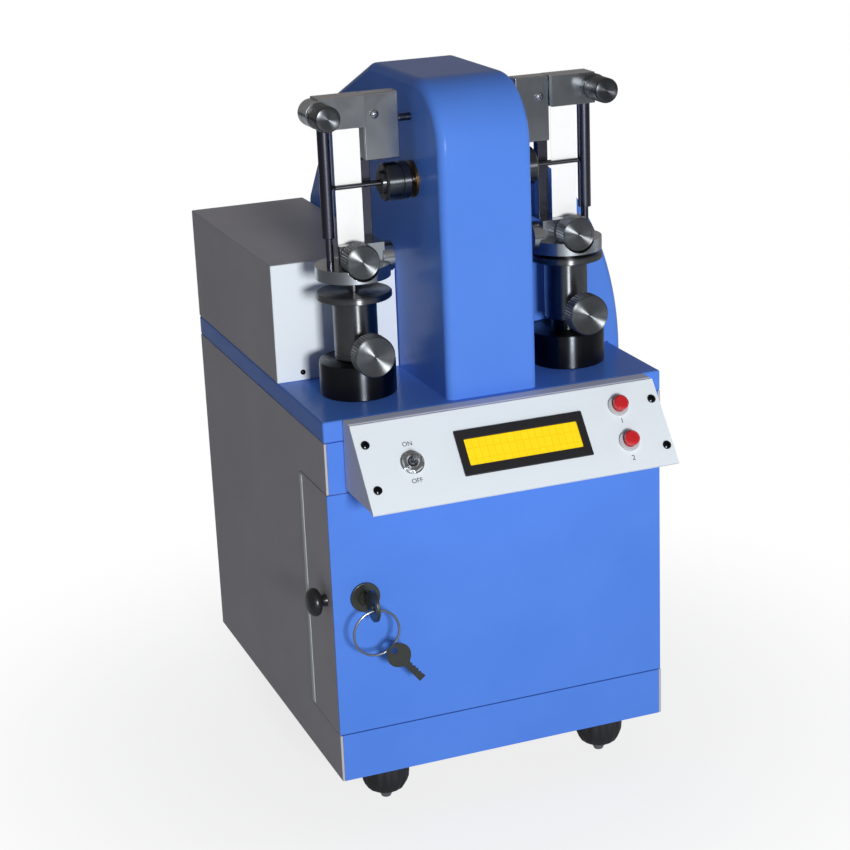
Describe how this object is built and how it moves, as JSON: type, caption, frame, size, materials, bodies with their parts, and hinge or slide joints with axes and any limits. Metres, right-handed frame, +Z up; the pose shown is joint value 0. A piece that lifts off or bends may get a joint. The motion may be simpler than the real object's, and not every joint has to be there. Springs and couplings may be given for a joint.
{
  "type": "folding endurance tester",
  "caption": "Bench cabinet on levelling feet with a hinged lockable door, a slanted control panel and twin paper-folding stations beside a tall drive hood.",
  "frame": {"origin": "on the standing surface, under the middle of the tester's outline", "axes": "+X to the tester's right as its user sees it, +Y from the control panel to the back, +Z up"},
  "size_m": [0.222, 0.2886, 0.408],
  "materials": {
    "blue_paint": "gloss",
    "grey_paint": "satin",
    "pale_paint": "satin",
    "panel_white": "satin",
    "black_plastic": "matt",
    "foot_plastic": "matt",
    "grey_plastic": "satin",
    "yellow_screen": "gloss",
    "red_plastic": "gloss",
    "belt_rubber": "matt",
    "chrome": "polished",
    "steel": "brushed",
    "aluminium": "satin",
    "bronze": "satin",
    "motor_black": "satin",
    "black_metal": "satin",
    "paper": "matt"
  },
  "bodies": {
    "frame": {"base_pan": "grey_paint", "left_side_panel": "grey_paint", "right_side_panel": "grey_paint", "back_panel": "grey_paint", "front_rails": "blue_paint", "deck_plate": "blue_paint", "console_housing": "pale_paint", "console_panel": "panel_white", "lcd_bezel": "black_plastic", "lcd_screen": "yellow_screen", "control_bushes": "grey_plastic", "tower_hood": "blue_paint", "control_box_cover": "grey_paint", "control_box_front": "panel_white", "motor_cover": "blue_paint", "shaft_bearings": "bronze", "drive_motor": "motor_black", "drive_belt": "belt_rubber", "bracket_plates": "chrome", "clamp_blocks": "chrome", "station_rods": "chrome", "load_bases": "black_metal", "paper_strips_upper": "paper", "hinge_leaves": "steel", "mains_inlet": "black_plastic"},
    "fold_drive": {"folding_shaft": "steel", "folding_heads": "chrome", "driven_pulley": "aluminium", "paper_folds": "paper"},
    "motor_rotor": {"motor_pulley": "aluminium"},
    "door": {"door_pan": "grey_paint", "door_front": "blue_paint", "door_knob": "black_plastic", "lock_barrel": "chrome"},
    "lock": {"lock_plug": "chrome", "lock_key": "steel"},
    "key_ring": {"key_ring": "steel"},
    "toggle": {"toggle_lever": "chrome"},
    "upper_button": {"upper_button": "red_plastic"},
    "lower_button": {"lower_button": "red_plastic"},
    "left_jaw": {"left_jaw": "chrome", "left_jaw_rod": "steel", "left_paper_lower": "paper", "left_load_spring": "steel"},
    "left_jaw_knob": {"left_jaw_knob": "chrome"},
    "left_clamp_knob": {"left_clamp_knob": "chrome"},
    "left_load": {"left_load_sleeve": "chrome"},
    "left_lock_knob": {"left_lock_knob": "chrome"},
    "right_jaw": {"right_jaw": "chrome", "right_jaw_rod": "steel", "right_paper_lower": "paper", "right_load_spring": "steel"},
    "right_jaw_knob": {"right_jaw_knob": "chrome"},
    "right_clamp_knob": {"right_clamp_knob": "chrome"},
    "right_load": {"right_load_sleeve": "chrome"},
    "right_lock_knob": {"right_lock_knob": "chrome"},
    "foot_front_left": {"foot_front_left": "foot_plastic"},
    "foot_front_right": {"foot_front_right": "foot_plastic"},
    "foot_rear_left": {"foot_rear_left": "foot_plastic"},
    "foot_rear_right": {"foot_rear_right": "foot_plastic"}
  },
  "joints": [
    {"name": "fold_turn", "type": "hinge", "parent": "frame", "child": "fold_drive", "pos_m": [0, -0.05575, 0.353], "axis": [1, 0, 0], "range_deg": [-135, 135]},
    {"name": "motor_turn", "type": "hinge", "parent": "frame", "child": "motor_rotor", "pos_m": [0, 0.02425, 0.278], "axis": [1, 0, 0], "range_deg": [-270, 270]},
    {"name": "door_swing", "type": "hinge", "parent": "frame", "child": "door", "pos_m": [0.095, -0.09655, 0.126], "axis": [0, 0, 1], "range_deg": [0, 110]},
    {"name": "lock_turn", "type": "hinge", "parent": "door", "child": "lock", "pos_m": [-0.0814, -0.10075, 0.135], "axis": [0, -1, 0], "range_deg": [0, 90]},
    {"name": "key_ring_swing", "type": "hinge", "parent": "lock", "child": "key_ring", "pos_m": [-0.0814, -0.11775, 0.13326], "axis": [1, 0, 0], "range_deg": [-60, 25]},
    {"name": "toggle_flip", "type": "hinge", "parent": "frame", "child": "toggle", "pos_m": [-0.0605, -0.12861, 0.2185], "axis": [1, 0, 0], "range_deg": [-14, 14]},
    {"name": "upper_button_press", "type": "slide", "parent": "frame", "child": "upper_button", "axis": [0, 0.778, -0.6283], "range_m": [0, 0.002], "stiffness_N_per_m": 300, "springref_m": -0.0005},
    {"name": "lower_button_press", "type": "slide", "parent": "frame", "child": "lower_button", "axis": [0, 0.778, -0.6283], "range_m": [0, 0.002], "stiffness_N_per_m": 300, "springref_m": -0.0005},
    {"name": "left_jaw_slide", "type": "slide", "parent": "frame", "child": "left_jaw", "axis": [0, 0, 1], "range_m": [-0.0018, 0], "stiffness_N_per_m": 800, "springref_m": 0.003},
    {"name": "left_load_slide", "type": "slide", "parent": "frame", "child": "left_load", "axis": [0, 0, 1], "range_m": [0, 0.006], "deforming": ["left_load_spring"]},
    {"name": "left_jaw_knob_turn", "type": "hinge", "parent": "left_jaw", "child": "left_jaw_knob", "pos_m": [-0.0635, -0.06275, 0.3147], "axis": [0, 1, 0], "range_deg": [-180, 180]},
    {"name": "left_clamp_knob_turn", "type": "hinge", "parent": "frame", "child": "left_clamp_knob", "pos_m": [-0.08, -0.06275, 0.3935], "axis": [0, 1, 0], "range_deg": [-180, 180]},
    {"name": "left_lock_knob_turn", "type": "hinge", "parent": "left_load", "child": "left_lock_knob", "pos_m": [-0.0635, -0.07175, 0.2653], "axis": [0, 1, 0], "range_deg": [-180, 180]},
    {"name": "right_jaw_slide", "type": "slide", "parent": "frame", "child": "right_jaw", "axis": [0, 0, 1], "range_m": [-0.0018, 0], "stiffness_N_per_m": 800, "springref_m": 0.003},
    {"name": "right_load_slide", "type": "slide", "parent": "frame", "child": "right_load", "axis": [0, 0, 1], "range_m": [-0.006, 0], "deforming": ["right_load_spring"]},
    {"name": "right_jaw_knob_turn", "type": "hinge", "parent": "right_jaw", "child": "right_jaw_knob", "pos_m": [0.0635, -0.06275, 0.3147], "axis": [0, 1, 0], "range_deg": [-180, 180]},
    {"name": "right_clamp_knob_turn", "type": "hinge", "parent": "frame", "child": "right_clamp_knob", "pos_m": [0.08, -0.06275, 0.3935], "axis": [0, 1, 0], "range_deg": [-180, 180]},
    {"name": "right_lock_knob_turn", "type": "hinge", "parent": "right_load", "child": "right_lock_knob", "pos_m": [0.0635, -0.07175, 0.2713], "axis": [0, 1, 0], "range_deg": [-180, 180]},
    {"name": "foot_front_left_turn", "type": "hinge", "parent": "frame", "child": "foot_front_left", "pos_m": [-0.068, -0.08075, 0.026], "axis": [0, 0, 1], "continuous": true},
    {"name": "foot_front_right_turn", "type": "hinge", "parent": "frame", "child": "foot_front_right", "pos_m": [0.068, -0.08075, 0.026], "axis": [0, 0, 1], "continuous": true},
    {"name": "foot_rear_left_turn", "type": "hinge", "parent": "frame", "child": "foot_rear_left", "pos_m": [-0.068, 0.12425, 0.026], "axis": [0, 0, 1], "continuous": true},
    {"name": "foot_rear_right_turn", "type": "hinge", "parent": "frame", "child": "foot_rear_right", "pos_m": [0.068, 0.12425, 0.026], "axis": [0, 0, 1], "continuous": true}
  ],
  "couplings": [
    {"joint": "motor_turn", "follows": "fold_turn", "ratio": 2}
  ]
}
